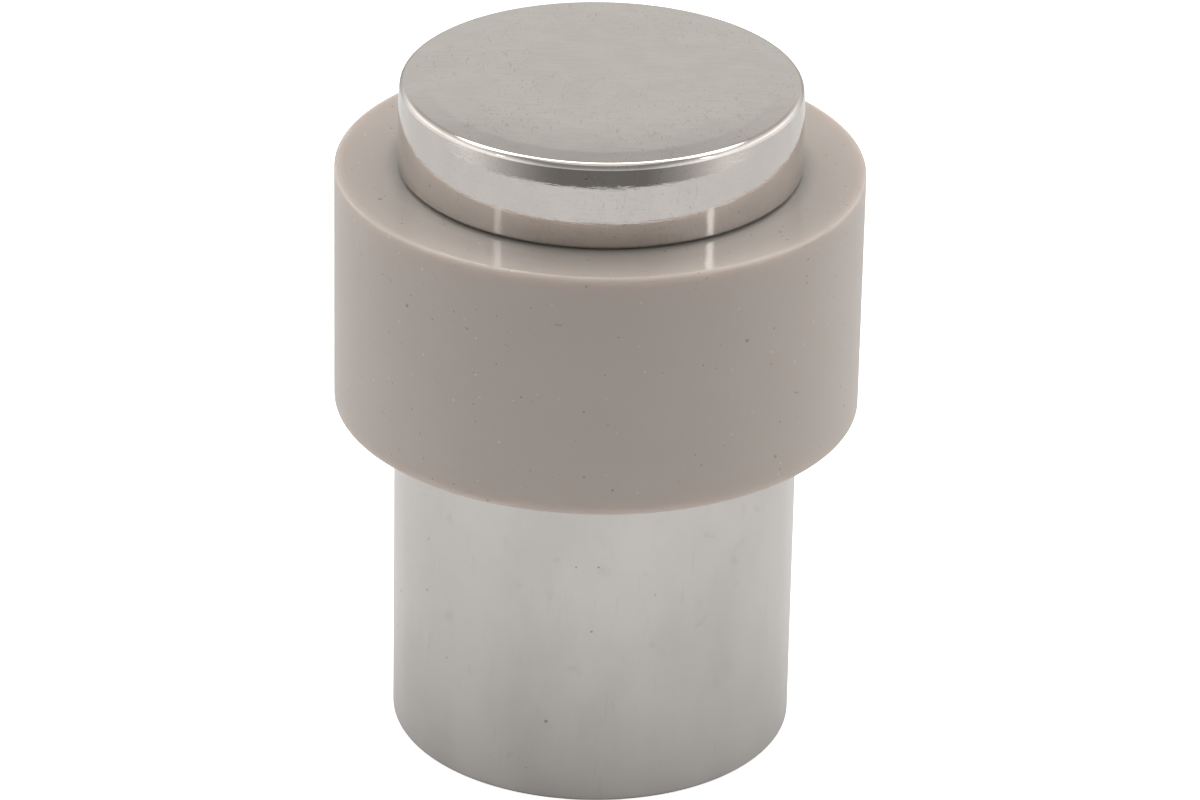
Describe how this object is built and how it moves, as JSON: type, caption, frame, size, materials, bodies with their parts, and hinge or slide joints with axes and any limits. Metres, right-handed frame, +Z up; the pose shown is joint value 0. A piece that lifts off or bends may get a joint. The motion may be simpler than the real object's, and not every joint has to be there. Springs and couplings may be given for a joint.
{
  "type": "floor door stop",
  "caption": "Round polished steel floor door stop with a grey elastomer buffer ring, a screw-off head and a hidden floor fixing.",
  "frame": {"origin": "on the column's axis, at floor level: the mouth of the floor plug, level with the base's rim", "axes": "+Z up along the column's axis; +X towards the anti-turn pin under the base"},
  "size_m": [0.0374, 0.0374, 0.08],
  "materials": {
    "mirror_steel": "mirror-polished stainless steel",
    "polished_steel": "polished stainless steel, softer than a mirror",
    "grey_elastomer": "smooth moulded light warm-grey elastomer",
    "black_rubber": "matte black rubber",
    "pin_steel": "ground steel",
    "zinc_steel": "bright zinc plate",
    "grey_nylon": "moulded nylon"
  },
  "bodies": {
    "base": {"base_body": "polished_steel", "base_gasket": "black_rubber", "anti_turn_pin": "pin_steel", "screw_washer": "zinc_steel", "fixing_screw": "zinc_steel", "floor_plug": "grey_nylon"},
    "carrier": {"retaining_o_ring": "black_rubber"},
    "head": {"head": "mirror_steel"},
    "ring": {"buffer_ring": "grey_elastomer"}
  },
  "joints": [
    {"name": "head_rise", "type": "slide", "parent": "base", "child": "carrier", "axis": [0, 0, 1], "range_m": [0, 0.0105]},
    {"name": "head_turn", "type": "hinge", "parent": "carrier", "child": "head", "pos_m": [0, 0, 0.0344], "axis": [0, 0, 1], "range_deg": [0, 2520]},
    {"name": "ring_turn", "type": "hinge", "parent": "carrier", "child": "ring", "pos_m": [0, 0, 0.0344], "axis": [0, 0, 1], "continuous": true}
  ],
  "couplings": [
    {"joint": "head_rise", "follows": "head_turn", "m_per_rad": 0.00023873}
  ]
}
